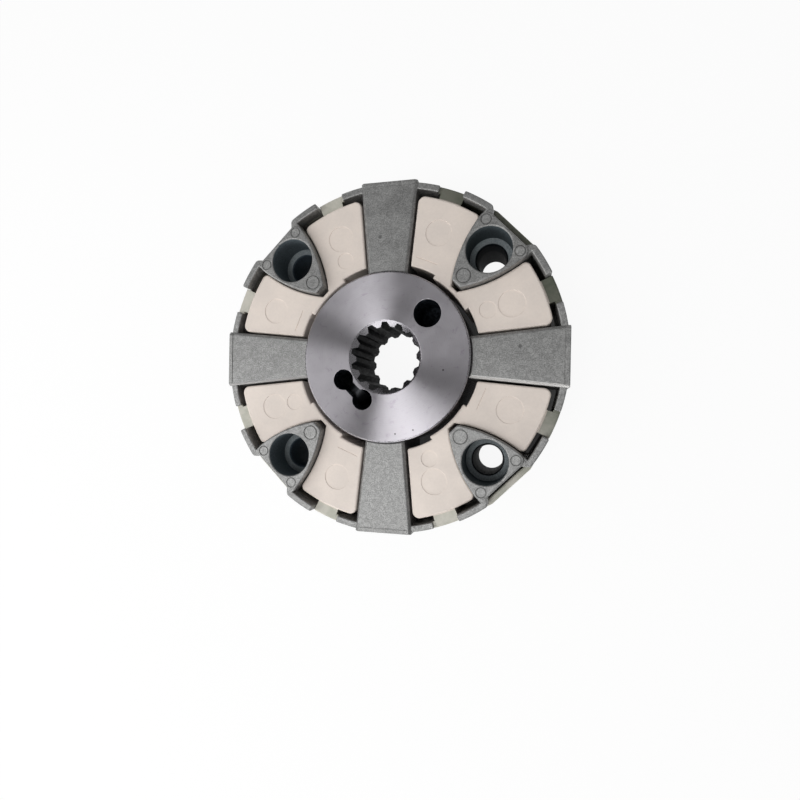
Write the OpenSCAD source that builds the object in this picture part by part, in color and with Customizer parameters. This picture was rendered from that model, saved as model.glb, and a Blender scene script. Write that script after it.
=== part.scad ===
// Flexible coupling between an engine flywheel and the splined shaft of a hydraulic pump.
// Four flywheel inserts (bolted along the axis) and four hub inserts (bolted to the hub
// along the radius) alternate round the hub, and four elastic elements drive between them.
// The axis is Z, the flywheel face is at z = 0 and the pump side is up.

/* [Coupling] */
// Pitch circle of the four flywheel bolts
bolt_pcd = 125; // [110:0.5:140]
// From the bolts' centres out to the outside of the wings
bolt_rim = 15; // [13:0.5:18]
// Wall of the wings that reach round the outside from each insert
wing_t = 2.9; // [2.2:0.1:4]
// Play at rest between a hub insert's side and the pad beside it
drive_gap = 1; // [0.9:0.1:1.8]

/* [Flywheel inserts] */
// Depth of a flywheel insert from the flywheel face to its front
axial_depth = 42; // [38:0.5:56]
// Width of the blunt inner tip
tip_w = 5; // [4:0.5:7]
// Thinnest wall between the counterbore and a flank
bore_wall = 1.5; // [1:0.1:3]
// Radius of the convex flanks
flank_r = 58; // [48:1:90]
// Half angle that the wings cover
axial_wing_angle = 19.1; // [17.5:0.1:20.5]
// Setback of the wings from the insert's front and back
axial_wing_setback = 1; // [0.4:0.1:2]
// Depth of the wings at the front and at the back
axial_wing_depth = 6.5; // [5:0.5:9]
// Width of the flat between the two wings
wing_flat_w = 19; // [16:0.5:22]
// Setback of that flat from the inside of the hoop
flat_setback = 1.2; // [0.8:0.1:2]
// Radius of the insert's two outer corners
corner_r = 3.2; // [2.6:0.1:4]
// Radius of the wings' outer corners beside the flat
wing_end_r = 2.2; // [1:0.1:2.6]
// Ring left by the ejector pin near the tip, its diameter
tip_mark_d = 6.4; // [4:0.2:7]
// Distance of that ring's centre from the tip
tip_mark_reach = 4.5; // [4:0.1:6]
// Rings left by the ejector pins in the outer corners, their diameter
corner_mark_d = 4.6; // [3:0.2:5]
// Width of the rings and lines that the mould leaves
mark_w = 0.4; // [0.3:0.1:0.6]
// Depth of the rings, discs and lines that the mould leaves
mark_depth = 0.25; // [0.1:0.05:0.5]

/* [Flywheel bolts] */
// Bolt hole at the flywheel face
bolt_hole_d = 12.2; // [10.2:0.1:13.5]
// Wide end of the lead-in above the bolt hole
lead_d = 13.6; // [13.6:0.1:16]
// Length of the lead-in
lead_len = 8; // [5:0.5:12]
// Counterbore for the bolt head
head_bore_d = 19.2; // [17:0.1:20]
// Depth of that counterbore
head_bore_depth = 16; // [12:0.5:22]

/* [Hub inserts] */
// Setback of a hub insert's front and back from the flywheel inserts'
radial_setback = 3; // [1:0.5:5]
// Width where the insert sits on the hub
block_inner_w = 17.8; // [16:0.1:19]
// Width at the outside
block_outer_w = 25.7; // [24:0.1:28]
// Half angle that the wings cover
radial_wing_angle = 17; // [14:0.5:18]
// Setback of the wings from the insert's front and back
radial_wing_setback = 1.2; // [0.4:0.1:2]
// Chamfer along the insert's two sides
side_chamfer = 1; // [0.5:0.1:1.5]
// Distance of the slide's parting line from the outer end
parting_line = 2.3; // [1.5:0.1:3]
// Gap between the insert's seat and the hub
seat_gap = 0.1; // [0.05:0.05:0.3]
// Chamfer along the seat at the front and back
seat_chamfer = 0.6; // [0.3:0.1:1.2]

/* [Elastic elements] */
// Setback of the pads from the hub inserts' front and back
pad_setback = 1.2; // [0.5:0.1:3]
// Setback of the outer bands from the pads
band_setback = 1.3; // [0.5:0.1:3]
// Free space between the pads and the wings round them
pad_wing_space = 2.6; // [1.5:0.1:4]
// Free space between the pads and the hub
pad_hub_space = 3.65; // [2.8:0.05:5]
// Free space between the inner web and the hub
web_hub_space = 2.1; // [1.2:0.1:2.6]
// Wall of the inner web
web_t = 2; // [1.6:0.1:3]
// Half angle that the inner web covers
web_angle = 15; // [12:0.5:19]
// Wall of the outer hoop
hoop_t = 2.7; // [2:0.1:3.6]
// Width of the hoop's straight stretch over the flywheel insert
hoop_flat_w = 22; // [12:0.5:26]
// Gap on each side of the hoop to the wings over it
hoop_side_gap = 0.5; // [0.3:0.1:1]
// Gap between a pad and the flank of a flywheel insert
flank_gap = 0.4; // [0.2:0.05:0.8]
// Gap between the inner web and an insert's tip
tip_gap = 1.7; // [1:0.1:2.5]
// Width of the pocket in front of the tip
tip_pocket_w = 7.2; // [6.6:0.1:8]
// Gap between a band and a hub insert's wing
band_hub_gap = 1; // [1:0.05:2]
// Gap between a band and a flywheel insert's wing
band_axial_gap = 0.3; // [0.2:0.1:1.5]
// Corner radius of a pad beside the hub insert
pad_corner_hub = 3; // [1.5:0.5:4]
// Corner radius of a pad beside the flywheel insert
pad_corner_axial = 2.5; // [1:0.5:3]
// Diameter of the disc that the mould leaves in the middle of a pad
pad_mark_d = 11.4; // [8:0.2:13]
// Distance of that disc from the coupling's axis
pad_mark_r = 58.2; // [56:0.2:61]
// Diameter of the small disc nearer to the hub
small_mark_d = 7.2; // [5:0.2:8]
// Distance of the small disc from the axis
small_mark_r = 48.2; // [46.8:0.1:50]
// Angle of the small disc from the middle of the flywheel insert
small_mark_angle = 20.5; // [20:0.1:23]
// Distance of the line on the other pad from the axis
line_mark_r = 45.3; // [44:0.1:47]
// Length of that line
line_mark_w = 10; // [6:0.5:11]

/* [Hub] */
// Diameter of the hub
hub_d = 75; // [70:0.5:78]
// Length of the hub
hub_len = 38; // [30:0.5:41]
// How far the hub stands out in front of the hub inserts
hub_proud = 2.3; // [0.5:0.1:2.9]
// Chamfer of the hub's edges
hub_chamfer = 0.6; // [0.3:0.1:1.5]
// Number of spline grooves
spline_teeth = 14; // [12:1:16]
// Radius over the spline's lands
spline_tip_r = 13.75; // [12.5:0.05:14.2]
// Radius to the bottom of the grooves
spline_root_r = 15.6; // [15:0.05:16]
// Radius where the chamfer of the splined bore starts
spline_mouth_r = 16.3; // [16.1:0.1:16.6]
// Diameter of the blind hole in the face
face_hole_d = 12; // [10:0.5:13]
// Distance of that hole from the axis
face_hole_r = 26.3; // [25:0.1:28]
// Depth of that hole
face_hole_depth = 20; // [10:1:30]

/* [Clamping slot] */
// Wall between the bottom of the spline grooves and the slot
slot_wall = 2.3; // [1.8:0.1:3.5]
// Width of the slot
slot_w = 4.65; // [3.5:0.05:5]
// Diameter of the holes at its ends
slot_hole_d = 9; // [7.5:0.1:9.2]
// Distance between those holes
slot_span = 12.5; // [11:0.1:14]
// Size of the thread of the two clamping screws
clamp_d = 10; // [8:1:10]
// Length of a clamping screw
clamp_len = 16; // [12:1:18]
// Distance between the two clamping screws
clamp_spacing = 17; // [13:0.5:19]
// Size across the flats of a clamping screw's socket
clamp_key = 5; // [4:0.5:6]
// Depth of a clamping screw's socket
clamp_key_depth = 5; // [3:0.5:7]

/* [Hub insert screws] */
// Size of the thread
screw_d = 12; // [10:1:12]
// Length under the head
screw_len = 40; // [36:1:42]
// Diameter of the head
screw_head_d = 18; // [16:0.5:18.5]
// Height of the head
screw_head_h = 12; // [10:0.5:13]
// Size across the flats of the socket
screw_key = 10; // [8:0.5:11]
// Depth of the socket
screw_key_depth = 6; // [4:0.5:7]
// How far the head is sunk below the outside
head_sink = 2.5; // [1:0.5:5]
// Thickness of the lock washer under the head
washer_t = 1.5; // [1:0.1:2.5]
// Free space round the head and round the shank
head_clearance = 0.5; // [0.3:0.1:0.8]

/* [Hidden] */
arms = 4;
arm_pitch = 360 / arms;
half_pitch = arm_pitch / 2;
slot_angle = 225;
face_hole_angle = 45;
groove_angle = 14.9;
thread_gap = 0.05;
past = 1;
$fn = 96;

outer_r = bolt_pcd / 2 + bolt_rim;
hub_r = hub_d / 2;
wing_inner_r = outer_r - wing_t;
hoop_inner_r = outer_r - hoop_t;
pad_outer_r = wing_inner_r - pad_wing_space;
pad_inner_r = hub_r + pad_hub_space;
web_inner_r = hub_r + web_hub_space;
web_flat = web_inner_r + web_t;

// Heights, all worked out from the middle plane
mid_z = axial_depth / 2;
radial_half = mid_z - radial_setback;
pad_half = radial_half - pad_setback;
band_half = pad_half - band_setback;
hoop_half = mid_z - axial_wing_setback - axial_wing_depth - hoop_side_gap;
hub_top = mid_z + radial_half + hub_proud;
hub_bottom = hub_top - hub_len;
hub_mid = hub_top - hub_len / 2;

// A flywheel insert, seen along the axis, with u along its own radius and v across it
tip_u = web_flat + tip_gap;
flat_u = hoop_inner_r - flat_setback;
tip_corner = [tip_u, tip_w / 2];
bolt_centre = [bolt_pcd / 2, 0];

// The circle of one flank goes through the tip's corner and keeps its wall to the counterbore
bolt_reach = flank_r - head_bore_d / 2 - bore_wall;
tip_to_bolt = bolt_centre - tip_corner;
along_share = (pow(flank_r, 2) - pow(bolt_reach, 2) + pow(norm(tip_to_bolt), 2))
    / (2 * pow(norm(tip_to_bolt), 2));
across = sqrt(pow(flank_r, 2) - pow(along_share * norm(tip_to_bolt), 2));
across_side = [tip_to_bolt.y, -tip_to_bolt.x] / norm(tip_to_bolt);
flank_centre = tip_corner + along_share * tip_to_bolt + across * across_side;

// The centre of the insert's rounded outer corner
corner_u = flat_u - corner_r;
corner_drop = sqrt(pow(flank_r - corner_r, 2) - pow(corner_u - flank_centre.x, 2));
corner_centre = [corner_u, flank_centre.y + corner_drop];

// The slanted end of a wing beside the flat, and the centre of its rounded corner
wing_end_angle = 40;
end_run = [cos(wing_end_angle), sin(wing_end_angle)];
end_side = [-sin(wing_end_angle), cos(wing_end_angle)];
end_base = [flat_u, wing_flat_w / 2] + wing_end_r * end_side;
end_way = sqrt(pow(end_base * end_run, 2) - pow(norm(end_base), 2)
    + pow(outer_r - wing_end_r, 2)) - end_base * end_run;
end_centre = end_base + end_way * end_run;

// A hub insert's side, as the angle and the distance from the axis of a straight line
block_slope = (block_outer_w - block_inner_w) / 2 / (outer_r - hub_r);
block_tilt = atan(block_slope);
block_offset = (block_inner_w / 2 - block_slope * hub_r) * cos(block_tilt);
wing_root_angle = atan(block_outer_w / 4 / outer_r);

// Angles at the outside, counted from a hub insert's middle
degrees_per_mm = 180 / (PI * outer_r);
band_start = radial_wing_angle + band_hub_gap * degrees_per_mm;
band_end = half_pitch - axial_wing_angle - band_axial_gap * degrees_per_mm;

// Places along the radius of a hub insert's screw
screw_seat_r = outer_r - head_sink - screw_head_h - washer_t;
screw_tip_r = screw_seat_r + washer_t - screw_len;
tap_end_r = screw_tip_r - 0.5;
screw_way_r = screw_d / 2 + head_clearance;
screw_head_r = screw_head_d / 2;

// Places along the radius of the slot and of a clamping screw
slot_inner_r = spline_root_r + slot_wall;
slot_r = slot_inner_r + slot_w / 2;
clamp_tip_r = slot_inner_r + thread_gap;

function polar(r, a) = [r * cos(a), r * sin(a)];
function unit(v) = v / norm(v);

// Everything on a hub insert's radius, number k of the four
module on_hub_arm(k) {
    rotate([0, 0, (k - 1) * arm_pitch]) children();
}

// Everything on a flywheel insert's radius, number k of the four
module on_flywheel_arm(k) {
    rotate([0, 0, (k - 1) * arm_pitch + half_pitch]) children();
}

// A round bar along X from one radius to another, at a given height
module bar(r, from_r, to_r, z) {
    translate([from_r, 0, z]) rotate([0, 90, 0]) cylinder(r = r, h = to_r - from_r);
}

// A hexagonal bar in the same place, its size given across the flats
module hex_bar(flats, from_r, to_r, z) {
    translate([from_r, 0, z]) rotate([0, 90, 0])
        cylinder(r = flats / sqrt(3), h = to_r - from_r, $fn = 6);
}

// A plan and its mirror image on the other side of the arm
module both_sides() {
    children();
    mirror([0, 1]) children();
}

// A plan raised by half a depth on both sides of the middle plane
module slab(half) {
    translate([0, 0, mid_z - half]) linear_extrude(2 * half) children();
}

// The plan of a ring sector between two angles of the X axis
module sector(r_in, r_out, a_from, a_to) {
    reach = r_out / cos((a_to - a_from) / 2) + past;
    intersection() {
        difference() {
            circle(r = r_out);
            circle(r = r_in);
        }
        polygon([[0, 0], polar(reach, a_from), polar(reach, a_to)]);
    }
}

// The two flank circles of a flywheel insert, grown by a gap, and what lies in both
module flank_lens(gap) {
    intersection() {
        translate(flank_centre) circle(r = flank_r + gap);
        translate([flank_centre.x, -flank_centre.y]) circle(r = flank_r + gap);
    }
}

// A strip across the arm between two distances from the axis
module strip(from_u, to_u, half_w) {
    translate([from_u, -half_w]) square([to_u - from_u, 2 * half_w]);
}

// What a rounded corner takes away: the corner outside a circle that touches both sides
module corner_waste(centre, side_a, side_b, r) {
    difference() {
        polygon([centre, centre + r * side_a, centre + 1.4 * r * (side_a + side_b),
                 centre + r * side_b]);
        translate(centre) circle(r = r);
    }
}

module axial_core_plan() {
    difference() {
        intersection() {
            flank_lens(0);
            strip(tip_u, flat_u, flank_r);
        }
        both_sides() corner_waste(
            corner_centre, [1, 0], unit(corner_centre - flank_centre), corner_r);
    }
}

module axial_wing_plan() {
    notch_end = [flat_u, wing_flat_w / 2] + 2 * (outer_r - flat_u) * end_run;
    difference() {
        union() {
            intersection() {
                flank_lens(0);
                strip(tip_u, outer_r + past, flank_r);
                circle(r = outer_r);
            }
            sector(wing_inner_r, outer_r, -axial_wing_angle, axial_wing_angle);
        }
        polygon([
            [flat_u, -wing_flat_w / 2], [flat_u, wing_flat_w / 2],
            notch_end, [notch_end.x, -notch_end.y]
        ]);
        both_sides() corner_waste(end_centre, -end_side, unit(end_centre), wing_end_r);
    }
}

// The ring that an ejector pin leaves in the front of a flywheel insert
module ring_mark(d, place) {
    translate([place.x, place.y, axial_depth - mark_depth]) difference() {
        cylinder(d = d, h = mark_depth + past);
        translate([0, 0, -past]) cylinder(d = d - 2 * mark_w, h = mark_depth + 3 * past);
    }
}

// A flywheel insert: a cast block with wings at both ends and a stepped bolt hole
module axial_insert() {
    floor_z = axial_depth - head_bore_depth;
    difference() {
        union() {
            slab(mid_z) axial_core_plan();
            for (z = [axial_wing_setback, axial_depth - axial_wing_setback - axial_wing_depth])
                translate([0, 0, z]) linear_extrude(axial_wing_depth) axial_wing_plan();
        }
        ring_mark(tip_mark_d, [tip_u + tip_mark_reach, 0]);
        both_sides() ring_mark(corner_mark_d, corner_centre);
        translate(bolt_centre) {
            translate([0, 0, -past]) cylinder(d = bolt_hole_d, h = axial_depth);
            translate([0, 0, floor_z - lead_len])
                cylinder(d1 = bolt_hole_d, d2 = lead_d, h = lead_len);
            translate([0, 0, floor_z]) cylinder(d = head_bore_d, h = head_bore_depth + past);
        }
    }
}

// The plan of a hub insert's block, its outer end straight
module block_plan() {
    near = hub_r / 2;
    near_w = block_inner_w / 2 - block_slope * (hub_r - near);
    far_w = block_outer_w / 2;
    difference() {
        polygon([[near, -near_w], [outer_r, -far_w], [outer_r, far_w], [near, near_w]]);
        circle(r = hub_r + seat_gap);
    }
}

// The chamfer round the hub at a hub insert's front, as a cone that also runs below it
module seat_cone() {
    seat_r = hub_r + seat_gap;
    translate([0, 0, radial_half - seat_chamfer - past])
        cylinder(r1 = seat_r - past, r2 = seat_r + seat_chamfer + past,
                 h = seat_chamfer + 2 * past);
}

// A square bar along a hub insert's upper side edge, turned so that one face cuts the chamfer
module side_edge_cut() {
    width = 2 * side_chamfer;
    rotate([0, 0, block_tilt]) translate([0, block_offset, radial_half]) rotate([45, 0, 0])
        translate([0, -side_chamfer / sqrt(2), -width / 2]) cube([outer_r + past, width, width]);
}

// What is cut from the front of a hub insert's block, with the middle plane at zero
module front_cuts() {
    both_sides() side_edge_cut();
    seat_cone();
    translate([outer_r - parting_line, -block_outer_w / 2, radial_half - mark_depth])
        cube([mark_w, block_outer_w, mark_depth + past]);
}

// A hub insert: a tapered block with wings at the outside, bored along its radius
module radial_insert() {
    difference() {
        union() {
            slab(radial_half) block_plan();
            slab(radial_half - radial_wing_setback) both_sides()
                sector(wing_inner_r, outer_r, wing_root_angle, radial_wing_angle);
        }
        bar(screw_way_r, hub_r / 2, outer_r, mid_z);
        bar(screw_head_r + head_clearance, screw_seat_r, outer_r + past, mid_z);
        for (face = [0, 1])
            translate([0, 0, mid_z]) mirror([0, 0, face]) front_cuts();
    }
}

// Half of an element's two pads, beside the hub insert at the upper side
module pad_plan() {
    hub_corner_r = pad_outer_r - pad_corner_hub;
    hub_corner_rise = asin((block_offset + drive_gap + pad_corner_hub) / hub_corner_r);
    hub_corner_a = half_pitch - block_tilt - hub_corner_rise;
    axial_corner_r = pad_outer_r - pad_corner_axial;
    flank_reach = flank_r + flank_gap + pad_corner_axial;
    axial_cos = (pow(axial_corner_r, 2) + pow(norm(flank_centre), 2) - pow(flank_reach, 2))
        / (2 * axial_corner_r * norm(flank_centre));
    axial_corner_a = atan2(flank_centre.y, flank_centre.x) + acos(axial_cos);
    axial_centre = polar(axial_corner_r, axial_corner_a);
    to_flank = flank_centre - axial_centre;
    side_normal = half_pitch - block_tilt + 90;
    difference() {
        sector(pad_inner_r, pad_outer_r, 0, half_pitch);
        rotate(half_pitch - block_tilt)
            translate([0, -block_offset - drive_gap]) square([outer_r, outer_r]);
        corner_waste(polar(hub_corner_r, hub_corner_a), polar(1, hub_corner_a),
                     polar(1, side_normal), pad_corner_hub);
        flank_lens(flank_gap);
        corner_waste(axial_centre, polar(1, axial_corner_a), unit(to_flank),
                     pad_corner_axial);
    }
}

// The marks that the mould leaves in the front of an element's two pads
module pad_marks() {
    across = half_pitch / 2;
    for (side = [-across, across])
        rotate(side) translate([pad_mark_r, 0]) circle(d = pad_mark_d);
    rotate(-small_mark_angle) translate([small_mark_r, 0]) circle(d = small_mark_d);
    rotate(across) strip(line_mark_r, line_mark_r + mark_w, line_mark_w / 2);
}

// An elastic element: two pads, the web inside and the bands and hoop outside
module element() {
    difference() {
        union() {
            slab(pad_half) {
                both_sides() pad_plan();
                difference() {
                    sector(web_inner_r, tip_u, -web_angle, web_angle);
                    strip(web_flat, tip_u + past, tip_pocket_w / 2);
                }
            }
            slab(band_half) both_sides() band_plan();
            slab(hoop_half) hoop_plan();
        }
        slab(mid_z) difference() {
            flank_lens(flank_gap);
            circle(r = web_flat);
            circle(r = pad_inner_r);
            sector(pad_outer_r, outer_r + past, -half_pitch, half_pitch);
        }
        translate([0, 0, mid_z + pad_half - mark_depth])
            linear_extrude(mark_depth + past) pad_marks();
    }
}

module band_plan() {
    sector(pad_outer_r - pad_corner_hub, outer_r, half_pitch - band_end, half_pitch - band_start);
}

// A disc with a straight stretch over the insert, whose ends run back into the circle
module flattened_disc(r) {
    flat_half = hoop_flat_w / 2 * r / outer_r;
    bend = atan(hoop_flat_w / 2 / outer_r);
    circle(r = r);
    polygon([[0, 0], polar(r, -2 * bend), [r, -flat_half], [r, flat_half], polar(r, 2 * bend)]);
}

module hoop_plan() {
    reach = half_pitch - band_start;
    intersection() {
        difference() {
            flattened_disc(outer_r);
            flattened_disc(hoop_inner_r);
        }
        sector(hoop_inner_r, outer_r + past, -reach, reach);
    }
}

module groove_plan() {
    land = 9;
    flank = 6.4;
    bottom = 4;
    pitch_r = (spline_tip_r + spline_root_r) / 2;
    intersection() {
        circle(r = spline_root_r);
        polygon([
            [0, 0], polar(spline_tip_r, -land), polar(pitch_r, -flank),
            polar(spline_root_r, -bottom), polar(spline_root_r + past, -bottom),
            polar(spline_root_r + past, bottom), polar(spline_root_r, bottom),
            polar(pitch_r, flank), polar(spline_tip_r, land)
        ]);
    }
}

// The splined bore: a round bore, its grooves, and a chamfer at both ends
module splined_bore() {
    mouth = spline_mouth_r - spline_tip_r + past;
    translate([0, 0, hub_bottom - past]) linear_extrude(hub_len + 2 * past) {
        circle(r = spline_tip_r);
        for (k = [0 : spline_teeth - 1])
            rotate(groove_angle + k * 360 / spline_teeth) groove_plan();
    }
    translate([0, 0, hub_top + past - mouth])
        cylinder(r1 = spline_tip_r, r2 = spline_mouth_r + past, h = mouth);
    translate([0, 0, hub_bottom - past])
        cylinder(r1 = spline_mouth_r + past, r2 = spline_tip_r, h = mouth);
}

// The clamping slot beside the splined bore, with the threads that reach it
module clamping_slot() {
    translate([0, 0, hub_bottom - past]) linear_extrude(hub_len + 2 * past) {
        strip(slot_inner_r, slot_inner_r + slot_w, slot_span / 2);
        for (side = [-1, 1])
            translate([slot_r, side * slot_span / 2]) circle(d = slot_hole_d);
    }
    for (side = [-1, 1])
        bar(clamp_d / 2, slot_r, hub_r + past, hub_mid + side * clamp_spacing / 2);
}

module hub_blank() {
    edge = hub_r - hub_chamfer;
    rotate_extrude() polygon([
        [0, hub_bottom], [edge, hub_bottom], [hub_r, hub_bottom + hub_chamfer],
        [hub_r, hub_top - hub_chamfer], [edge, hub_top], [0, hub_top]
    ]);
}

module hub() {
    color("silver") difference() {
        hub_blank();
        splined_bore();
        rotate(slot_angle) clamping_slot();
        rotate(face_hole_angle) translate([face_hole_r, 0, hub_top - face_hole_depth])
            cylinder(d = face_hole_d, h = face_hole_depth + past);
        for (k = [1 : arms])
            on_hub_arm(k) bar(screw_d / 2, tap_end_r, hub_r + past, mid_z);
    }
}

// A socket head screw that holds a hub insert on the hub
module radial_screw() {
    head_from = screw_seat_r + washer_t;
    head_to = head_from + screw_head_h;
    difference() {
        union() {
            bar(screw_d / 2 - thread_gap, screw_tip_r, head_from + past, mid_z);
            bar(screw_head_r, head_from, head_to, mid_z);
        }
        hex_bar(screw_key, head_to - screw_key_depth, head_to + past, mid_z);
    }
}

module lock_washer() {
    difference() {
        bar(screw_head_r, screw_seat_r, screw_seat_r + washer_t, mid_z);
        bar(screw_d / 2 + head_clearance / 2, screw_seat_r - past,
            screw_seat_r + washer_t + past, mid_z);
    }
}

// A clamping screw, the lower one on side -1 and the upper one on side 1
module clamp_screw(side) {
    z = hub_mid + side * clamp_spacing / 2;
    difference() {
        bar(clamp_d / 2 - thread_gap, clamp_tip_r, clamp_tip_r + clamp_len, z);
        hex_bar(clamp_key, clamp_tip_r + clamp_len - clamp_key_depth,
                clamp_tip_r + clamp_len + past, z);
    }
}

hub();
for (k = [1 : arms]) {
    on_hub_arm(k) color("darkgray") radial_insert();
    on_hub_arm(k) color("dimgray") radial_screw();
    on_hub_arm(k) color("slategray") lock_washer();
    on_flywheel_arm(k) color("gray") axial_insert();
    on_flywheel_arm(k) color("linen") element();
}
rotate(slot_angle) color("dimgray") clamp_screw(-1);  // clamp_screw_1
rotate(slot_angle) color("dimgray") clamp_screw(1);  // clamp_screw_2
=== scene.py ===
"""Looks of the flexible pump drive coupling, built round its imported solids."""
import math

import bmesh
import bpy
from mathutils import Matrix, Vector
from mathutils.geometry import tessellate_polygon


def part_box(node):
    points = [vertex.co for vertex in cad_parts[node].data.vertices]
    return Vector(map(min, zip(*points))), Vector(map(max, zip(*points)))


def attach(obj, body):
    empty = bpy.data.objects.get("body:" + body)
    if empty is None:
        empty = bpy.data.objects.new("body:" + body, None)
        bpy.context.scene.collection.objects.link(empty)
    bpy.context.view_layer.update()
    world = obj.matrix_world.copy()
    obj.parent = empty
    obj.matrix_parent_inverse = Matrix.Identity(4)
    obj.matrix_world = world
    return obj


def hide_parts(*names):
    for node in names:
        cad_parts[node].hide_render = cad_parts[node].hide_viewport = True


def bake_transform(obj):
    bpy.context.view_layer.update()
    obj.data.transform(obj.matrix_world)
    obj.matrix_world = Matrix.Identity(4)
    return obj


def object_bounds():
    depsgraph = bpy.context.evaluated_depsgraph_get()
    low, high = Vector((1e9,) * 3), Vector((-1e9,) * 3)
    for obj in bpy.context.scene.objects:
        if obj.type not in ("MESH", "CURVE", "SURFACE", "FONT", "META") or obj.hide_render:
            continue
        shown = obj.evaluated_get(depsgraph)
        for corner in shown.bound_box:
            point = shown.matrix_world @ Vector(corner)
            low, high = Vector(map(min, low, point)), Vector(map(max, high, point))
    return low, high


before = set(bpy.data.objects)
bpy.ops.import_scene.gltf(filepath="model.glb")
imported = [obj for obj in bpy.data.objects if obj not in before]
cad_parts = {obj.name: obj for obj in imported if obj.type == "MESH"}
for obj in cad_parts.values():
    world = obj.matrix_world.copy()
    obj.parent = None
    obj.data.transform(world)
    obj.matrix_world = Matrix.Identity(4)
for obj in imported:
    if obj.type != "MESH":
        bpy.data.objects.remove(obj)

cad_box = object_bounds()

MM = 0.001
ARMS = (1, 2, 3, 4)
FLYWHEEL_SIDE = "flywheel_side"
HUB_SIDE = "hub_side"

# The photograph's camera, solved from the inserts and the bolt holes
FRAME_PX = 800
FOCAL_PX = 532.9
CENTRE_X_PX = 391.7
CENTRE_Y_PX = 415.9
SENSOR = 36
CLIP_START = 0.01
CAMERA_AT = Vector((61.5, -23.9, 265.6)) * MM
CAMERA_TURN = Vector((-0.005, 0.252, 0.019))

# Each lamp's name, the way to it, its distance and size in metres, and its power
LAMPS = (("broad", (-0.08, -0.3, 0.95), 0.75, (0.3, 0.3), 1.38),
         ("narrow", (-0.262, -0.32, 0.91), 0.75, (0.02, 0.3), 0.21),
         ("side", (-0.75, -0.15, 0.65), 0.6, (0.4, 0.4), 1.22),
         ("low", (-0.3, -1, 0.22), 0.7, (0.8, 0.2), 1.6),
         ("glint", (0.28, -0.92, 0.22), 0.7, (0.3, 0.14), 0.2))
WORLD_LIGHT = 0.3
FLOOR_SIZE = 40
PAPER_GLOW = 0.92
# The paper's glow within its painted shadow under the coupling
PAPER_GLOW_UNDER = 0.02

# The hub in millimetres, as its solid has it
HUB_BACK_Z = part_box("hub")[0].z / MM
HUB_FRONT_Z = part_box("hub")[1].z / MM
HUB_MID_Z = (HUB_BACK_Z + HUB_FRONT_Z) / 2
HUB_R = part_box("hub")[1].x / MM
HUB_BORED_HALF = 16
MOUTH_DEPTH = 2.8
SPLINE_MOUTH_R = 16.3
CLAMP_NECK = (-14.5, -14.5)
CLAMP_NECK_R = 3.6
NECK_STEP = 2.6

# The hub inserts, with their seats on the hub, their side chamfers and their wings
MID_Z = cad_box[1].z / MM / 2
OUTER_R = cad_box[1].x / MM
BLOCK_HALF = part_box("radial_insert_1")[1].z / MM - MID_Z
BLOCK_SEAT = 1.2
SIDE_CHAMFER = 1
BLOCK_WING_HALF = 16.8
WING_INNER_R = 74.6
WING_END_DEG = 17
WING_ROOT_ALONG = 73
WING_ROOT_ACROSS = 13.1

# The flywheel inserts' bolt bores
BOLT_CIRCLE_R = 62.5
HEAD_BORE_R = 9.6
HEAD_BORE_FLOOR_Z = 26
BOLT_HOLE_R = 6.1
BOLT_HOLE_MOUTH_R = 6.8

# The elements: pads, inner webs, outer bands with their ends, and the hoops behind the wings
PADS_FROM_HUB = 3.65
PAD_INNER_R = PADS_FROM_HUB + HUB_R
PAD_OUTER_R = 72
WEB_HALF = 10
BAND_HALF = 15.5
BAND_ENDS_DEG = (17.74, 25.68)
LIP_SINK_DEG = 0.04
HOOP_HALF = 13
FLAT_HALF = 11

# Round grooves of the die marks on one flywheel insert, as middle and radius
DIE_MARKS = (((33.8, 33.8), 3), ((42.8, 56.8), 2.1), ((56.8, 42.8), 2.1))

# Small pits in the face of the hub, and flaws of two castings
HUB_PITS = ((25.9, -5.7), (13.3, -31.5), (5.4, -33.4))
CAST_FLAWS = ((-3.6, 53.2), (57.4, 4.3))

# Ways across the coupling: to its right, to the side whose bands get painted shade, and across
# a diagonal
TO_RIGHT = (1, 0, 0)
TO_SHADED_SIDE = (0.85, 0.53, 0)
ACROSS_DIAGONAL = (math.sqrt(0.5), -math.sqrt(0.5), 0)

# The painted light and shade of the left and the right side meet within this distance of the
# axis
SIDES_MEET = 20

# The range that most of a noise lies in, and the colour sockets of a Mix node
NOISE_LOW, NOISE_HIGH = 0.3, 0.7
MIX_A, MIX_B, MIX_RESULT = 6, 7, 2

# How much the edges of each kind of piece are rounded, in millimetres
HUB_ROUNDING = 0.18
WASHER_ROUNDING = 0.2
SCREW_ROUNDING = 0.3
BLOCK_ROUNDING = 0.5
FLYWHEEL_INSERT_ROUNDING = 0.6
ELEMENT_ROUNDING = 0.8
WIDE_ROUNDING = 1.3
ROUNDING_STEPS = 3

# Edges that turn more than this are rounded outside and kept sharp inside
SHARP = math.radians(28)
CREASE = math.radians(38)
IN_PLANE = math.cos(math.radians(0.3))
IN_LINE = math.cos(math.radians(25))

# The part of a face that the rounding of its edges may take, on one side or on both.
# A face narrower than the depth of a mark counts as rounded on both.
ONE_SIDE = 0.72
BOTH_SIDES = 0.36
MARK_DEPTH = 0.5 * MM

# A ring inside a rim: its width over the rounding's, its least share and its sharpest mitre
RING_SHARE = 1.08
RING_LEAST = 0.04
RING_MITRE = 0.2

# How near corners are welded and places count as the same, in millimetres or degrees
WELD = 0.0005
NEAR = 0.1
NEAR_DEG = 0.2

# A face is upright where the height of its normal is under the first, level over the second
UPRIGHT = 0.3
LEVEL = 0.9


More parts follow.
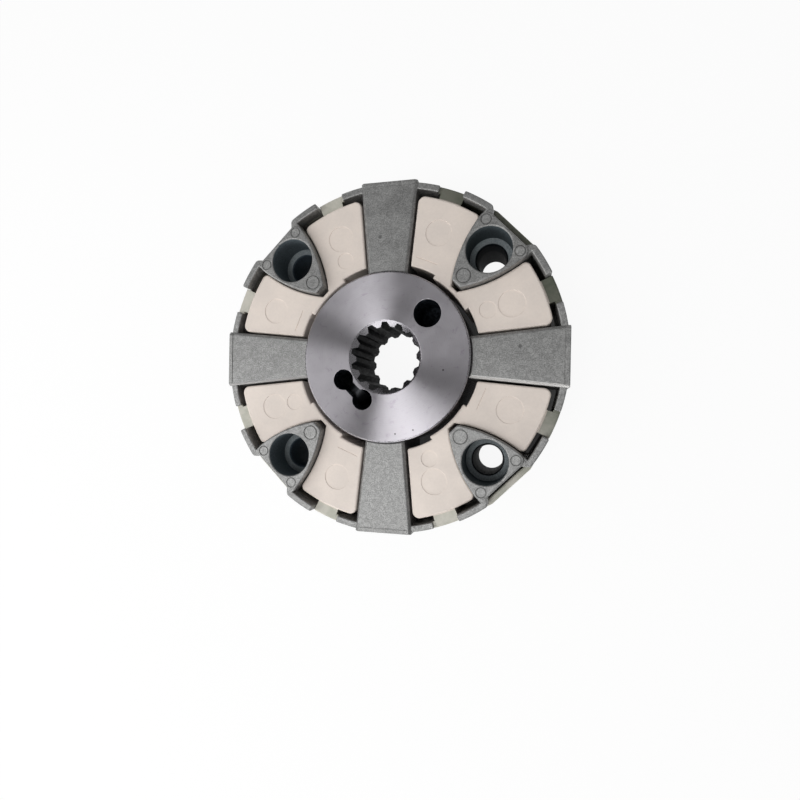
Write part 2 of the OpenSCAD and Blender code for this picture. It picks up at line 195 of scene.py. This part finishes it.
class Material:
    """A procedural material, written as short lines. Its places are in millimetres."""

    def __init__(self, name):
        self.material = bpy.data.materials.new(name)
        self.material.use_nodes = True
        self.tree = self.material.node_tree
        self.tree.nodes.clear()
        self.shader = self.node("ShaderNodeBsdfPrincipled")
        self.output = self.node("ShaderNodeOutputMaterial")
        self.link(self.shader.outputs["BSDF"], self.output.inputs["Surface"])
        self.place = self.scaled(self.node("ShaderNodeTexCoord").outputs["Object"], 1 / MM)

    def node(self, kind, **settings):
        made = self.tree.nodes.new(kind)
        for name, value in settings.items():
            setattr(made, name, value)
        return made

    def link(self, source, target):
        self.tree.links.new(source, target)

    def put(self, target, value):
        """Gives a socket its value, which is a number or another node's output."""
        if isinstance(value, bpy.types.NodeSocket):
            self.link(value, target)
        else:
            target.default_value = value

    def set(self, **values):
        """Sets the shader's sockets, a number on the socket itself or a link."""
        for name, value in values.items():
            self.put(self.shader.inputs[name.replace("_", " ")], value)

    def math(self, operation, a, b=0.0, clamp=False):
        made = self.node("ShaderNodeMath", operation=operation, use_clamp=clamp)
        self.put(made.inputs[0], a)
        self.put(made.inputs[1], b)
        return made.outputs[0]

    def product(self, first, *others):
        """All the values multiplied with each other."""
        for other in others:
            first = self.math("MULTIPLY", first, other)
        return first

    def vector(self, operation, a, b=(0, 0, 0)):
        made = self.node("ShaderNodeVectorMath", operation=operation)
        self.put(made.inputs[0], a)
        self.put(made.inputs[1], b)
        return made

    def scaled(self, vector, amount):
        made = self.node("ShaderNodeVectorMath", operation="SCALE")
        self.put(made.inputs[0], vector)
        self.put(made.inputs["Scale"], amount)
        return made.outputs[0]

    def folded(self):
        """The place, folded into the quarter where x and y are above zero."""
        return self.vector("ABSOLUTE", self.place).outputs[0]

    def stretched(self, factors):
        """The place, with each of its axes multiplied."""
        return self.vector("MULTIPLY", self.place, factors).outputs[0]

    def noise(self, size_mm, detail=2.0, roughness=0.5, place=None, distortion=0.0):
        """Noise whose features are about size_mm across."""
        made = self.node("ShaderNodeTexNoise")
        self.link(place or self.place, made.inputs["Vector"])
        made.inputs["Scale"].default_value = 1 / size_mm
        made.inputs["Detail"].default_value = detail
        made.inputs["Roughness"].default_value = roughness
        made.inputs["Distortion"].default_value = distortion
        return made.outputs["Fac"]

    def noise_along(self, value, size_mm, detail=2.0):
        """Noise that changes with one number only."""
        made = self.node("ShaderNodeTexNoise", noise_dimensions="1D")
        self.link(value, made.inputs["W"])
        made.inputs["Scale"].default_value = 1 / size_mm
        made.inputs["Detail"].default_value = detail
        return made.outputs["Fac"]

    def spread(self, value, low, high, to_low=0.0, to_high=1.0):
        """Maps value from one range to another, held at both ends."""
        made = self.node("ShaderNodeMapRange", interpolation_type="SMOOTHSTEP")
        for name, number in (("From Min", low), ("From Max", high),
                             ("To Min", to_low), ("To Max", to_high)):
            made.inputs[name].default_value = number
        self.link(value, made.inputs["Value"])
        return made.outputs["Result"]

    def vary(self, noise, to_low=0.0, to_high=1.0):
        """Maps the usual range of a noise to another."""
        return self.spread(noise, NOISE_LOW, NOISE_HIGH, to_low, to_high)

    def mix(self, share, first, second):
        """The first colour where share is 0, and the second where it is 1."""
        made = self.node("ShaderNodeMix", data_type="RGBA")
        self.put(made.inputs["Factor"], share)
        self.put(made.inputs[MIX_A], first)
        self.put(made.inputs[MIX_B], second)
        return made.outputs[MIX_RESULT]

    def shade(self, colour, *amounts):
        """A colour made darker or lighter by amounts round 1."""
        for amount in amounts:
            if not isinstance(colour, bpy.types.NodeSocket):
                colour = colour[:3]
            colour = self.scaled(colour, amount)
        return colour

    def bump(self, *layers):
        """Bumps laid over each other, each a height from 0 to 1 and its depth in mm."""
        normal = None
        for height, depth_mm in layers:
            made = self.node("ShaderNodeBump")
            made.inputs["Strength"].default_value = 1
            made.inputs["Distance"].default_value = depth_mm * MM
            self.link(height, made.inputs["Height"])
            if normal is not None:
                self.link(normal, made.inputs["Normal"])
            normal = made.outputs["Normal"]
        self.link(normal, self.shader.inputs["Normal"])

    def radius(self, centre=(0, 0), place=None):
        """Distance in mm from a line along the coupling's axis."""
        moved = self.vector("SUBTRACT", place or self.place, (*centre, 0)).outputs[0]
        flat = self.vector("MULTIPLY", moved, (1, 1, 0)).outputs[0]
        return self.vector("LENGTH", flat).outputs["Value"]

    def height(self):
        """Height in mm above the coupling's back."""
        split = self.node("ShaderNodeSeparateXYZ")
        self.link(self.place, split.inputs[0])
        return split.outputs["Z"]

    def off_middle(self):
        """Distance in mm from the coupling's middle plane."""
        return self.math("ABSOLUTE", self.math("SUBTRACT", self.height(), MID_Z))

    def along(self, way, place=None):
        """Distance in mm from the coupling's axis, counted one way."""
        return self.vector("DOT_PRODUCT", place or self.place, way).outputs["Value"]

    def right_side(self):
        """From 0 at the coupling's left to 1 at its right."""
        return self.spread(self.along(TO_RIGHT), -SIDES_MEET, SIDES_MEET)


def rgb(red, green, blue):
    """A colour given by its screen values from 0 to 255."""
    def linear(value):
        part = value / 255
        return part / 12.92 if part <= 0.04045 else ((part + 0.055) / 1.055) ** 2.4
    return (linear(red), linear(green), linear(blue), 1.0)


def grained_metal(name, colour, metallic, size_mm, shades, roughness, depth_mm):
    """A metal of one colour, whose grain changes its shade and its roughness a little."""
    m = Material(name)
    grain = m.noise(size_mm, detail=3, roughness=0.6)
    m.set(Base_Color=m.shade(colour, m.vary(grain, *shades)))
    m.set(Metallic=metallic, Roughness=m.vary(grain, *roughness))
    m.bump((grain, depth_mm))
    return m.material


def die_marks(m):
    """Amounts that darken the rims of the round die marks, a painted shade in their grooves,
    and lighten their discs.
    """
    folded = m.folded()
    amounts = []
    for middle, reach in DIE_MARKS:
        away = m.radius(middle, folded)
        off_rim = m.math("ABSOLUTE", m.math("SUBTRACT", away, reach))
        # Painted shade in the groove round each die mark.
        amounts.append(m.spread(off_rim, 0.05, 0.4, 0.55, 1))
        amounts.append(m.spread(away, reach - 0.4, reach, 1.08, 1))
    return amounts


def cast_aluminium():
    """Grey castings, grainy and cloudy, with flaws and with die marks whose grooves have
    painted shade.
    """
    m = Material("cast_aluminium")
    grain = m.noise(0.5, detail=2, roughness=0.7)
    speckle = m.noise(1.7, detail=4, roughness=0.75, distortion=0.5)
    cloud = m.noise(9, detail=4, roughness=0.65, distortion=0.4)
    flaws = [m.spread(m.radius(flaw), 0.5, 1.1, 0.6, 1) for flaw in CAST_FLAWS]
    m.set(Base_Color=m.shade(rgb(154, 154, 153), m.spread(grain, 0.32, 0.68, 0.72, 1.22),
                             m.spread(speckle, 0.34, 0.68, 0.82, 1.14),
                             m.vary(cloud, 0.86, 1.08), *flaws, *die_marks(m)))
    m.set(Metallic=0.75, Roughness=m.vary(cloud, 0.46, 0.56))
    m.bump((m.noise(4, detail=2), 0.12), (grain, 0.08))
    return m.material


def highlit_chamfer_aluminium():
    """Chamfers with a painted highlight, smoother than the castings, less bright at the left
    than at the right.
    """
    m = Material("highlit_chamfer_aluminium")
    grain = m.noise(0.6, detail=3, roughness=0.7)
    # Painted highlight, lighter at the right than at the left.
    tone = m.mix(m.right_side(), rgb(150, 149, 148), rgb(186, 185, 183))
    m.set(Base_Color=m.shade(tone, m.vary(grain, 0.84, 1.1)))
    m.set(Metallic=0.85, Roughness=m.vary(grain, 0.4, 0.48))
    m.bump((grain, 0.02))
    return m.material


def shaded_bore_metal():
    """The bolts' bores: a hole and a wall above, both painted dark as their shade and darker at
    the right, and a pale step under the screw's head.
    """
    m = Material("shaded_bore_metal")
    grain = m.noise(0.6, detail=3, roughness=0.6)
    rings = m.noise_along(m.height(), 0.7)
    above = m.spread(m.height(), HEAD_BORE_FLOOR_Z - 0.3, HEAD_BORE_FLOOR_Z - 0.02)
    at_wall = m.spread(m.height(), HEAD_BORE_FLOOR_Z + 0.1, HEAD_BORE_FLOOR_Z + 0.6)
    # Painted shade: the hole and the wall are dark, and darker at the right than at the left.
    right = m.right_side()
    hole = m.mix(right, rgb(66, 76, 84), rgb(20, 24, 28))
    wall = m.mix(right, rgb(94, 103, 108), rgb(76, 84, 88))
    tone = m.mix(at_wall, m.mix(above, hole, rgb(136, 143, 146)), wall)
    m.set(Base_Color=m.shade(tone, m.vary(grain, 0.8, 1.2), m.vary(rings, 0.92, 1.08)))
    m.set(Roughness=m.vary(grain, 0.55, 0.65), Specular_IOR_Level=0.02)
    m.bump((grain, 0.02))
    return m.material


def hub_steel():
    """The turned faces of the hub, with rings, a faint stain and, at the front, pits."""
    m = Material("hub_steel")
    rings = m.noise_along(m.radius(), 0.3, detail=3)
    cloud = m.noise(13, detail=4, roughness=0.6, distortion=0.5)
    stain = m.spread(m.noise(3.2, detail=4, roughness=0.7, distortion=0.8), 0.56, 0.72)
    face = m.mix(stain, rgb(170, 167, 172), rgb(155, 150, 158))
    back = m.spread(m.height(), HUB_MID_Z, HUB_MID_Z - 1)
    pits = [m.math("MAXIMUM", m.spread(m.radius(pit), 0.3, 0.5, 0.25, 1), back)
            for pit in HUB_PITS]
    m.set(Base_Color=m.shade(face, m.vary(rings, 0.96, 1.03), m.vary(cloud, 0.92, 1.05), *pits))
    m.set(Metallic=1.0, Anisotropic=1.0, Anisotropic_Rotation=0.25)
    m.set(Roughness=m.vary(cloud, 0.28, 0.34))
    tangent = m.node("ShaderNodeTangent", direction_type="RADIAL", axis="Z")
    m.link(tangent.outputs["Tangent"], m.shader.inputs["Tangent"])
    m.bump((rings, 0.002))
    return m.material


def dark_steel():
    """The walls of the hub's bores, painted dark as their shade and darkest in the spline, with
    a painted highlight on the crests of the thread in the slot's neck.
    """
    m = Material("dark_steel")
    grain = m.noise(1.4, detail=4, roughness=0.7, place=m.stretched((1, 1, 0.4)))
    outside = m.spread(m.radius(), SPLINE_MOUTH_R + 0.5, SPLINE_MOUTH_R + 1)
    # Painted highlight on the crests of the thread in the slot's neck.
    crest = m.spread(m.math("PINGPONG", m.height(), NECK_STEP / 2), 0.8, 1.2)
    thread = m.product(crest, m.spread(m.radius(CLAMP_NECK), CLAMP_NECK_R, CLAMP_NECK_R - 0.8))
    # Painted shade: darkest inside the spline.
    tone = m.mix(outside, rgb(16, 18, 21), rgb(34, 38, 43))
    tone = m.mix(thread, tone, rgb(120, 124, 130))
    m.set(Base_Color=m.shade(tone, m.spread(grain, 0.35, 0.68, 0.3, 1.6)))
    m.set(Roughness=m.vary(grain, 0.65, 0.5), Specular_IOR_Level=0.03)
    m.bump((grain, 0.08))
    return m.material


def elastomer():
    """Cream pads and stained bands, with painted shade: darker bands at one side, darker hoops
    under the wings, and darker webs at the hub except at the left.
    """
    m = Material("elastomer")
    cloud = m.noise(12, detail=3, roughness=0.55)
    fine = m.noise(1.1, detail=2, roughness=0.6)
    stains = m.spread(m.noise(8, detail=4, roughness=0.6, distortion=0.3), 0.4, 0.68)
    outside = m.spread(m.radius(), PAD_OUTER_R, PAD_OUTER_R + 0.6)
    pads = m.mix(m.vary(cloud), rgb(238, 226, 216), rgb(230, 219, 210))
    pale = m.mix(stains, rgb(204, 201, 190), rgb(183, 183, 170))
    # Painted shade: the bands grow darker towards one side.
    shaded_bands = m.mix(stains, rgb(98, 99, 88), rgb(76, 82, 68))
    bands = m.mix(m.spread(m.along(TO_SHADED_SIDE), 16, 66), pale, shaded_bands)

    across = m.math("ABSOLUTE", m.along(ACROSS_DIAGONAL, m.folded()))
    # Painted shade on the hoops under the wings, away from the flats.
    shade_under_wings = m.product(outside,
                             m.spread(m.radius(), OUTER_R - 0.9, OUTER_R - 1.6),
                             m.spread(m.off_middle(), HOOP_HALF + 2, HOOP_HALF + 1),
                             m.spread(across, FLAT_HALF, FLAT_HALF + 2))
    # Painted shade on the webs beside the hub, less at the left.
    shade_at_hub = m.product(m.spread(m.radius(), PAD_INNER_R + 0.4, PAD_INNER_R + 0.1),
                            m.spread(across, WEB_HALF, WEB_HALF + 0.2),
                            m.spread(m.along(TO_RIGHT), -25, -5))
    # The pads and bands, with their grain and the painted shade.
    m.set(Base_Color=m.shade(m.mix(outside, pads, bands), m.vary(fine, 0.98, 1.01),
                             *(m.spread(painted_shade, 0, 1, 1, 0.3)
                               for painted_shade in (shade_under_wings, shade_at_hub))))
    m.set(Roughness=m.vary(cloud, 0.42, 0.5))
    m.bump((fine, 0.02))
    return m.material


def paper():
    """White paper, whose own glow fills most of the shadow for what looks at it. Under the
    coupling, away from its bores, it is painted grey and barely glows: a painted shadow.
    """
    m = Material("paper")
    glow = m.node("ShaderNodeEmission")
    path = m.node("ShaderNodeLightPath")
    seen = m.math("ADD", path.outputs["Is Camera Ray"], path.outputs["Is Glossy Ray"])
    seen = m.math("ADD", seen, path.outputs["Is Transmission Ray"], clamp=True)
    beside_bolts = [m.spread(m.radius(bolt_place(number)), BOLT_HOLE_R + 1, BOLT_HOLE_R + 3)
                    for number in ARMS]
    # Painted shadow on the paper under the coupling, but not under its spline bore and bolt
    # holes.
    under = m.product(m.spread(m.radius(), SPLINE_MOUTH_R, SPLINE_MOUTH_R + 2),
                      m.spread(m.radius(), OUTER_R, OUTER_R - 3), *beside_bolts)
    m.set(Base_Color=m.mix(under, rgb(252, 252, 252), rgb(90, 90, 90)), Roughness=0.8)
    share = m.product(seen, m.spread(under, 0, 1, PAPER_GLOW, PAPER_GLOW_UNDER))
    mixed = m.node("ShaderNodeMixShader")
    for k, source in enumerate((share, m.shader.outputs["BSDF"], glow.outputs[0])):
        m.link(source, mixed.inputs[k])
    m.link(mixed.outputs[0], m.output.inputs["Surface"])
    return m.material


def flat_regions(work):
    """Sets of joined faces that lie in one plane."""
    taken = set()
    regions = []
    for first in work.faces:
        if first in taken:
            continue
        taken.add(first)
        region = [first]
        for face in region:
            for edge in face.edges:
                for other in edge.link_faces:
                    if other not in taken and other.normal.dot(first.normal) > IN_PLANE:
                        taken.add(other)
                        region.append(other)
        regions.append(region)
    return regions


def room(region, edge, rounded, wanted):
    """How far the rounding of an edge may go on a flat region, and no further than wanted."""
    start = edge.verts[0].co
    way = (edge.verts[1].co - start).normalized()

    def away(vert):
        return (vert.co - start - way * (vert.co - start).dot(way)).length

    far = 0
    for face in region:
        far = max(far, *map(away, face.verts))
        if far * BOTH_SIDES > wanted:
            return wanted
    opposite = any(other in rounded and min(map(away, other.verts)) > far / 2
                   for face in region for other in face.edges)
    return min(wanted, far * (BOTH_SIDES if opposite or far < MARK_DEPTH else ONE_SIDE))


def even_out(work, layer):
    """Gives edges that run on in one line the smallest rounding among them."""
    changed = True
    while changed:
        changed = False
        for vert in work.verts:
            edges = [edge for edge in vert.link_edges if edge[layer] > 0]
            if len(edges) != 2 or edges[0][layer] == edges[1][layer]:
                continue
            ways = [(edge.other_vert(vert).co - vert.co).normalized() for edge in edges]
            if ways[0].dot(ways[1]) < -IN_LINE:
                edges[0][layer] = edges[1][layer] = min(edge[layer] for edge in edges)
                changed = True


def rim_loops(region):
    """The rims of a flat region, each a ring of loops that turn round its faces."""
    inside = set(region)
    after = {}
    for face in region:
        for loop in face.loops:
            if any(other not in inside for other in loop.edge.link_faces):
                after[loop.vert] = loop
    rims = []
    while after:
        loop = next(iter(after.values()))
        rim = []
        while loop is not None:
            rim.append(after.pop(loop.vert))
            loop = after.get(loop.link_loop_next.vert)
        rims.append(rim)
    return rims


def ring_corners(rim, normal, layer, rounding):
    """New corners inside a rim, as far from it as its rounding reaches."""
    corners = [loop.vert.co for loop in rim]
    sides = [normal.cross(there - here).normalized()
             for here, there in zip(corners, corners[1:] + corners[:1])]
    fresh = []
    for k, corner in enumerate(corners):
        before, behind = sides[k - 1], sides[k]
        step = (before + behind) / max(1 + before.dot(behind), RING_MITRE)
        share = max(rim[k].edge[layer], rim[k - 1].edge[layer], RING_LEAST)
        fresh.append(corner + step * (share * rounding * RING_SHARE))
    return fresh


def bridge(work, first, second):
    """Joins two rings of corners with faces."""
    for k in range(len(first)):
        work.faces.new((first[k - 1], first[k], second[k], second[k - 1]))


def open_flats(work, regions, layer, rounding):
    """Makes each flat region one face, or a ring along its rims and a filling if it has holes.

    The rounding then stays inside the ring, so no thin triangle of the filling is folded."""
    whole = {}  # in the order of the faces, so that every run gives the same mesh
    for region in regions:
        rims = rim_loops(region)
        if len(rims) == 1:
            inside = set(region)
            whole.update(dict.fromkeys(edge for face in region for edge in face.edges
                                       if all(f in inside for f in edge.link_faces)))
            continue
        if not any(loop.edge[layer] for rim in rims for loop in rim):
            continue
        normal = region[0].normal.copy()
        rings = [([loop.vert for loop in rim],
                  [work.verts.new(co) for co in ring_corners(rim, normal, layer, rounding)])
                 for rim in rims]
        bmesh.ops.delete(work, geom=region, context="FACES_KEEP_BOUNDARY")
        for corners, fresh in rings:
            bridge(work, corners, fresh)
        points = [vert for _, fresh in rings for vert in fresh]
        for corner in tessellate_polygon([[vert.co for vert in fresh] for _, fresh in rings]):
            face = work.faces.new([points[k] for k in corner])
            face.normal_update()
            if face.normal.dot(normal) < 0:
                face.normal_flip()
    bmesh.ops.dissolve_edges(work, edges=list(whole), use_verts=False)


def mark_creases(work):
    """Keeps edges sharp in the light where their faces turn by CREASE or more."""
    for edge in work.edges:
        edge.smooth = edge.calc_face_angle(0.0) < CREASE


def middle_of(edge):
    """An edge's middle in millimetres."""
    return (edge.verts[0].co + edge.verts[1].co) / 2 / MM


def add_object(name, data):
    """A new object that stands in the scene."""
    made = bpy.data.objects.new(name, data)
    bpy.context.scene.collection.objects.link(made)
    return made


def to_piece(work, name, materials):
    """Turns a form into a smooth piece with its materials."""
    for face in work.faces:
        face.smooth = True
    mesh = bpy.data.meshes.new(name)
    work.to_mesh(mesh)
    work.free()
    for material in materials:
        mesh.materials.append(material)
    return add_object(name, mesh)


def round_edges(piece, rounding):
    """Rounds a piece's edges for good, and keeps its flat faces flat in the light."""
    bevel = piece.modifiers.new("edges", "BEVEL")
    bevel.width = rounding
    bevel.segments = ROUNDING_STEPS
    bevel.limit_method = "WEIGHT"
    bevel.use_clamp_overlap = False
    made = piece.evaluated_get(bpy.context.evaluated_depsgraph_get())
    plain = piece.data
    piece.data = bpy.data.meshes.new_from_object(made)
    piece.modifiers.clear()
    bpy.data.meshes.remove(plain)
    work = bmesh.new()
    work.from_mesh(piece.data)
    mark_creases(work)
    work.to_mesh(piece.data)
    work.free()
    normals = piece.modifiers.new("normals", "WEIGHTED_NORMAL")
    normals.weight = 100
    normals.keep_sharp = True


def dress(node, body, materials, rounding_mm, pick=None, keep_sharp=None, wide=None,
          mend=None):
    """A node's own form with rounded edges and its finish.

    pick gives the number of the material for a face from its middle and its normal.
    keep_sharp says from an edge's middle whether it stays sharp, and wide whether it is
    rounded by WIDE_ROUNDING. mend cleans the form before that."""
    rounding = (WIDE_ROUNDING if wide else rounding_mm) * MM
    work = bmesh.new()
    work.from_mesh(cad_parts[node].data)
    bmesh.ops.remove_doubles(work, verts=work.verts, dist=WELD * MM)
    if mend:
        mend(work)
    work.normal_update()
    layer = work.edges.layers.float.new("bevel_weight_edge")
    regions = flat_regions(work)
    home = {face: region for region in regions for face in region}
    rounded = set()
    for edge in work.edges:
        turn = edge.calc_face_angle_signed(0.0)
        if turn > SHARP and not (keep_sharp and keep_sharp(middle_of(edge))):
            rounded.add(edge)
        elif abs(turn) > SHARP:
            edge.smooth = False
    for edge in rounded:
        wanted = rounding if wide and wide(middle_of(edge)) else rounding_mm * MM
        edge[layer] = min(room(home[face], edge, rounded, wanted)
                          for face in edge.link_faces) / rounding
    even_out(work, layer)
    open_flats(work, regions, layer, rounding)
    if pick:
        for face in work.faces:
            face.material_index = pick(face.calc_center_median() / MM, face.normal)
    piece = to_piece(work, node + "_looks", materials)
    round_edges(piece, rounding)
    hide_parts(node)
    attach(piece, body)


def depth_in_hub(place):
    """How far a place lies below the nearer face of the hub."""
    return min(HUB_FRONT_Z - place.z, place.z - HUB_BACK_Z)


def hub_finish(middle, normal):
    """The hub's bright faces, the walls of its bores painted dark as their shade, and its
    outside and chamfers.
    """
    faces, bores, edges = range(3)
    upright = abs(normal.z) < UPRIGHT
    if upright and middle.xy.length > HUB_R - NEAR:
        return edges
    if upright or depth_in_hub(middle) > MOUTH_DEPTH:
        return bores
    return faces if abs(normal.z) > LEVEL else edges


def hub_inside(middle):
    """Whether an edge of the hub lies in its bores and holes, or in the chamfer of the bore."""
    if middle.xy.length > HUB_R - 1:
        at_wall = abs(middle.xy.length - HUB_R) < NEAR
        return at_wall and abs(middle.z - HUB_MID_Z) < HUB_BORED_HALF
    return depth_in_hub(middle) > NEAR


def block_inside(middle):
    """Whether an edge of a hub insert lies at its seat or at the foot of a side chamfer."""
    foot = abs(abs(middle.z - MID_Z) - BLOCK_HALF + SIDE_CHAMFER) < NEAR
    return foot or middle.xy.length < HUB_R + BLOCK_SEAT


def block_finish(middle, normal):
    """The cast faces of a hub insert, and a front chamfer that faces -y, the foot of the
    camera's frame, which gets the painted highlight.
    """
    at_side = middle.z > MID_Z + BLOCK_HALF - SIDE_CHAMFER
    sloping = UPRIGHT < normal.z < LEVEL and normal.y < -UPRIGHT
    return 1 if at_side and sloping and middle.xy.length > HUB_R + BLOCK_SEAT else 0


def weld_wing_roots(work):
    """Welds the crowded corners where a hub insert's wings meet its side chamfers."""
    crowds = {}
    for vert in work.verts:
        place = vert.co / MM
        across, along = sorted((abs(place.x), abs(place.y)))
        at_wing = abs(abs(place.z - MID_Z) - BLOCK_WING_HALF) < NEAR
        if at_wing and along > WING_ROOT_ALONG and across < WING_ROOT_ACROSS:
            crowd = (place.x > 0, place.y > 0, place.z > MID_Z, place.xy.length > OUTER_R - 1)
            crowds.setdefault(crowd, []).append((across, vert))
    targets = {}
    for crowd in crowds.values():
        first = min(crowd, key=lambda item: item[0])[1]
        targets.update({vert: first for _, vert in crowd if vert != first})
    bmesh.ops.weld_verts(work, targetmap=targets)


def bolt_place(number):
    """The middle of a flywheel bolt's hole."""
    angle = math.radians(90 * number - 45)
    return Vector((math.cos(angle), math.sin(angle))) * BOLT_CIRCLE_R


def bore_finish(number):
    """The walls, painted dark as their shade, and the step of a flywheel insert's bolt bore."""
    bolt = bolt_place(number)

    def pick(middle, normal):
        in_bore = (middle.xy - bolt).length < HEAD_BORE_R + NEAR
        at_step = abs(middle.z - HEAD_BORE_FLOOR_Z) < 1
        return 1 if in_bore and (abs(normal.z) < LEVEL or at_step) else 0
    return pick


def bore_mouth(number):
    """The rim of a flywheel insert's bolt hole, at the step under the screw's head."""
    bolt = bolt_place(number)

    def wide(middle):
        at_step = abs(middle.z - HEAD_BORE_FLOOR_Z) < NEAR
        return at_step and (middle.xy - bolt).length < BOLT_HOLE_MOUTH_R + NEAR
    return wide


def band_end(middle):
    """Whether an edge of an element lies at an end of one of its bands."""
    turn = math.degrees(math.atan2(abs(middle.y), abs(middle.x)))
    off_block = min(turn, 90 - turn)
    return (middle.xy.length > PAD_OUTER_R + NEAR
            and any(abs(off_block - end) < NEAR_DEG for end in BAND_ENDS_DEG))


def lip_section():
    """Places across a band's lip, as radius and height, round its outer edges."""
    corner_r = OUTER_R - ELEMENT_ROUNDING
    corner_z = MID_Z + BAND_HALF - ELEMENT_ROUNDING
    upper = []
    for step in range(ROUNDING_STEPS + 1):
        angle = math.radians(90 * step / ROUNDING_STEPS)
        upper.append((corner_r + ELEMENT_ROUNDING * math.cos(angle),
                      corner_z + ELEMENT_ROUNDING * math.sin(angle)))
    upper.append((WING_INNER_R, MID_Z + BAND_HALF))
    return upper + [(r, 2 * MID_Z - z) for r, z in reversed(upper)]


def band_lip(name, middle_deg, side, material):
    """The soft end of a band, which fills the gap to a hub insert's wing.

    It goes a little way into the band and into the wing that it joins."""
    work = bmesh.new()
    rings = []
    for off_deg in (BAND_ENDS_DEG[0] + LIP_SINK_DEG, WING_END_DEG - LIP_SINK_DEG):
        angle = math.radians(middle_deg + side * off_deg)
        way = Vector((math.cos(angle), math.sin(angle), 0))
        rings.append([work.verts.new((way * r + Vector((0, 0, z))) * MM)
                      for r, z in lip_section()])
    for ring in rings:
        work.faces.new(ring)
    bridge(work, *rings)
    bmesh.ops.recalc_face_normals(work, faces=work.faces)
    mark_creases(work)
    piece = to_piece(work, name, [material])
    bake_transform(piece)


def camera_of_photo():
    """A camera where the photograph's stood, with the same frame."""
    data = bpy.data.cameras.new("camera")
    data.sensor_width = SENSOR
    data.lens = FOCAL_PX / FRAME_PX * SENSOR
    data.shift_x = (FRAME_PX / 2 - CENTRE_X_PX) / FRAME_PX
    data.shift_y = (CENTRE_Y_PX - FRAME_PX / 2) / FRAME_PX
    data.clip_start = CLIP_START
    camera = add_object("camera", data)
    turn = Matrix.Rotation(CAMERA_TURN.length, 4, CAMERA_TURN.normalized())
    camera.matrix_world = Matrix.Translation(CAMERA_AT) @ turn
    bpy.context.scene.camera = camera


def lamp(name, way, distance, size, power):
    """A soft lamp, some way from the coupling's middle, that faces it."""
    data = bpy.data.lights.new(name, "AREA")
    data.shape = "RECTANGLE"
    data.size, data.size_y = size
    data.energy = power
    made = add_object(name, data)
    way = Vector(way).normalized()
    made.location = Vector((0, 0, MID_Z * MM)) + way * distance
    made.rotation_mode = "QUATERNION"
    made.rotation_quaternion = (-way).to_track_quat("-Z", "Y")


def studio():
    """An even world, soft lamps and a floor of white paper."""
    world = bpy.data.worlds.new("studio")
    world.use_nodes = True
    background = world.node_tree.nodes["Background"]
    background.inputs["Color"].default_value = (1, 1, 1, 1)
    background.inputs["Strength"].default_value = WORLD_LIGHT
    bpy.context.scene.world = world
    for row in LAMPS:
        lamp(*row)

    bpy.ops.mesh.primitive_plane_add(size=FLOOR_SIZE)
    floor = bpy.context.object
    floor.name = "floor"
    floor.data.materials.append(paper())


def coupling():
    """Every piece of the coupling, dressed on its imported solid, and the bands' lips."""
    aluminium = cast_aluminium()
    highlit_chamfers = highlit_chamfer_aluminium()
    bore = shaded_bore_metal()
    rubber = elastomer()
    black = grained_metal("black_steel", rgb(44, 45, 48), metallic=0.8, size_mm=0.5,
                          shades=(0.8, 1.2), roughness=(0.32, 0.45), depth_mm=0.01)
    zinc = grained_metal("zinc_steel", rgb(150, 152, 156), metallic=1, size_mm=0.6,
                         shades=(0.85, 1.1), roughness=(0.36, 0.46), depth_mm=0.01)
    edges = grained_metal("edge_steel", rgb(158, 156, 160), metallic=1, size_mm=0.8,
                          shades=(0.94, 1.04), roughness=(0.24, 0.32), depth_mm=0.005)
    dress("hub", HUB_SIDE, [hub_steel(), dark_steel(), edges], HUB_ROUNDING,
          hub_finish, hub_inside)
    for k in ARMS:
        dress(f"radial_insert_{k}", HUB_SIDE, [aluminium, highlit_chamfers],
              BLOCK_ROUNDING, block_finish, block_inside, mend=weld_wing_roots)
        dress(f"radial_screw_{k}", HUB_SIDE, [black], SCREW_ROUNDING)
        dress(f"lock_washer_{k}", HUB_SIDE, [zinc], WASHER_ROUNDING)
        dress(f"axial_insert_{k}", FLYWHEEL_SIDE, [aluminium, bore],
              FLYWHEEL_INSERT_ROUNDING, bore_finish(k), wide=bore_mouth(k))
        dress(f"element_{k}", FLYWHEEL_SIDE, [rubber], ELEMENT_ROUNDING,
              keep_sharp=band_end)
        for side, letter in ((-1, "a"), (1, "b")):
            band_lip(f"band_lip_{k}{letter}", 90 * (k - 1), side, rubber)
    for name in ("clamp_screw_1", "clamp_screw_2"):
        dress(name, HUB_SIDE, [black], SCREW_ROUNDING)


camera_of_photo()
studio()
coupling()
bpy.context.scene.view_settings.view_transform = "Standard"
